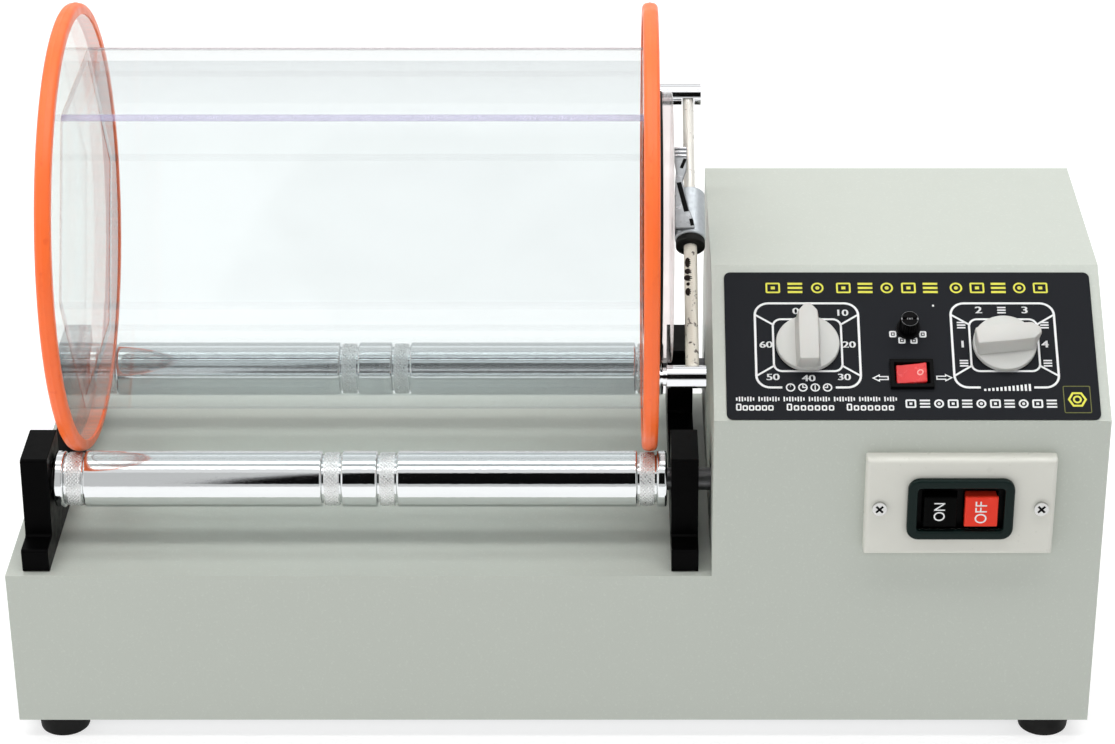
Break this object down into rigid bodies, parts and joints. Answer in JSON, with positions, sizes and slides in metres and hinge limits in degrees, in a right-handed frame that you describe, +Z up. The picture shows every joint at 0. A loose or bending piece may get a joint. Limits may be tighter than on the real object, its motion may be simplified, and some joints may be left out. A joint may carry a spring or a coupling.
{
  "type": "rotary rock tumbler",
  "caption": "Rotary tumbler: a clear hexagonal barrel on rubber-tyred discs lies on powered chrome rollers beside a sheet-metal control housing with dials and push buttons.",
  "frame": {"origin": "on the floor under the middle of the case and barrel", "axes": "+X towards the control housing along the barrel, +Y to the back, +Z up"},
  "size_m": [0.48, 0.1984, 0.3119],
  "materials": {
    "case_paint": "satin powder coat, pale grey-green",
    "galvanised": "zinc-plated sheet",
    "foot_rubber": "matte moulded rubber",
    "screw_steel": "bright zinc-plated steel",
    "bracket_black": "satin black",
    "bearing_steel": "ground steel",
    "roller_chrome": "polished, with knurled bands",
    "shaft_steel": "turned steel",
    "pulley_alloy": "turned",
    "belt_rubber": "matte",
    "motor_paint": "semi-gloss",
    "capacitor_plastic": "gloss",
    "terminal_plastic": "matte moulded",
    "transformer_iron": "varnished laminations",
    "clear_acrylic": "clear, polished",
    "tyre_orange": "satin rubber",
    "gasket_black": "matte",
    "clamp_chrome": "polished",
    "rod_steel": "dull threaded steel",
    "label_black": "printed, semi-gloss",
    "knob_grey": "satin moulded",
    "control_black": "moulded",
    "rocker_red": "gloss",
    "plate_cream": "satin moulded",
    "bezel_dark": "gloss"
  },
  "bodies": {
    "housing": {"case_shell": "case_paint", "bottom_plate": "galvanised", "feet": "foot_rubber", "foot_screws": "screw_steel", "rear_cover": "case_paint", "cover_screws": "screw_steel", "cord_gland": "foot_rubber", "bracket_left": "bracket_black", "bracket_right": "bracket_black", "bearings_left": "bearing_steel", "bearings_right": "bearing_steel", "bracket_screws": "screw_steel", "drive_belt": "belt_rubber", "transfer_belt": "belt_rubber", "motor_body": "motor_paint", "motor_bracket": "galvanised", "motor_screws": "screw_steel", "run_capacitor": "capacitor_plastic", "terminal_block": "terminal_plastic", "speed_transformer": "transformer_iron", "label_plate": "label_black", "timer_body": "control_black", "speed_switch_body": "control_black", "fuse_holder": "control_black", "rocker_frame": "control_black", "switch_plate": "plate_cream", "switch_bezel": "bezel_dark", "switch_body": "control_black", "switch_plate_screws": "screw_steel"},
    "front_roller": {"front_roller_tube": "roller_chrome", "front_roller_shaft": "shaft_steel", "front_roller_pulley": "pulley_alloy"},
    "rear_roller": {"rear_roller_tube": "roller_chrome", "rear_roller_shaft": "shaft_steel", "rear_roller_pulley": "pulley_alloy"},
    "motor_rotor": {"motor_shaft": "shaft_steel", "motor_pulley": "pulley_alloy"},
    "drum": {"barrel_panels": "clear_acrylic", "end_disc_left": "clear_acrylic", "end_disc_right": "clear_acrylic", "tyre_left": "tyre_orange", "tyre_right": "tyre_orange", "lid_gasket": "gasket_black", "lid": "clear_acrylic", "lid_pressure_pad": "clamp_chrome", "clamp_catch_post": "clamp_chrome", "clamp_pivot_screw": "clamp_chrome"},
    "clamp_bar": {"clamp_pivot_barrel": "clamp_chrome", "clamp_rod": "rod_steel", "clamp_collar": "gasket_black"},
    "clamp_cam": {"clamp_sleeve": "clamp_chrome", "clamp_lever": "clamp_chrome"},
    "timer_dial": {"timer_knob": "knob_grey", "timer_spindle": "shaft_steel"},
    "speed_dial": {"speed_knob": "knob_grey", "speed_spindle": "shaft_steel"},
    "rocker": {"direction_rocker": "rocker_red"},
    "on_key": {"on_button": "bezel_dark"},
    "off_key": {"off_button": "rocker_red"},
    "fuse_lid": {"fuse_cap": "control_black"}
  },
  "joints": [
    {"name": "drum_spin", "type": "hinge", "parent": "housing", "child": "drum", "pos_m": [0, 0, 0.21274], "axis": [1, 0, 0], "continuous": true},
    {"name": "front_roller_spin", "type": "hinge", "parent": "housing", "child": "front_roller", "pos_m": [0, -0.0542, 0.1153], "axis": [1, 0, 0], "continuous": true},
    {"name": "rear_roller_spin", "type": "hinge", "parent": "housing", "child": "rear_roller", "pos_m": [0, 0.0542, 0.1153], "axis": [1, 0, 0], "continuous": true},
    {"name": "motor_spin", "type": "hinge", "parent": "housing", "child": "motor_rotor", "pos_m": [0.08, 0.014, 0.056], "axis": [1, 0, 0], "continuous": true},
    {"name": "clamp_bar_swing", "type": "hinge", "parent": "drum", "child": "clamp_bar", "pos_m": [0.0585, -0.06842, 0.17324], "axis": [1, 0, 0], "range_deg": [-45, 0]},
    {"name": "clamp_cam_turn", "type": "hinge", "parent": "clamp_bar", "child": "clamp_cam", "pos_m": [0.061, 0, 0.21274], "axis": [0, 0.866, 0.5], "range_deg": [0, 90]},
    {"name": "timer_turn", "type": "hinge", "parent": "housing", "child": "timer_dial", "pos_m": [0.111, -0.05601, 0.18236], "axis": [0, -0.5286, 0.8488], "range_deg": [-300, 0]},
    {"name": "speed_turn", "type": "hinge", "parent": "housing", "child": "speed_dial", "pos_m": [0.1963, -0.05601, 0.18236], "axis": [0, -0.5286, 0.8488], "range_deg": [-45, 215]},
    {"name": "direction_rocker_tilt", "type": "hinge", "parent": "housing", "child": "rocker", "pos_m": [0.1555, -0.06885, 0.1746], "axis": [0, 0.8488, 0.5286], "range_deg": [0, 24]},
    {"name": "on_press", "type": "slide", "parent": "housing", "child": "on_key", "axis": [0, 1, 0], "range_m": [0, 0.0025], "stiffness_N_per_m": 400},
    {"name": "off_press", "type": "slide", "parent": "housing", "child": "off_key", "axis": [0, 1, 0], "range_m": [0, 0.0025], "stiffness_N_per_m": 400},
    {"name": "fuse_cap_turn", "type": "hinge", "parent": "housing", "child": "fuse_lid", "pos_m": [0.155, -0.0493, 0.18653], "axis": [0, -0.5286, 0.8488], "range_deg": [0, 60]}
  ],
  "couplings": [
    {"joint": "front_roller_spin", "follows": "drum_spin", "ratio": -8.2667},
    {"joint": "rear_roller_spin", "follows": "drum_spin", "ratio": -8.2667},
    {"joint": "motor_spin", "follows": "drum_spin", "ratio": -19.22}
  ]
}
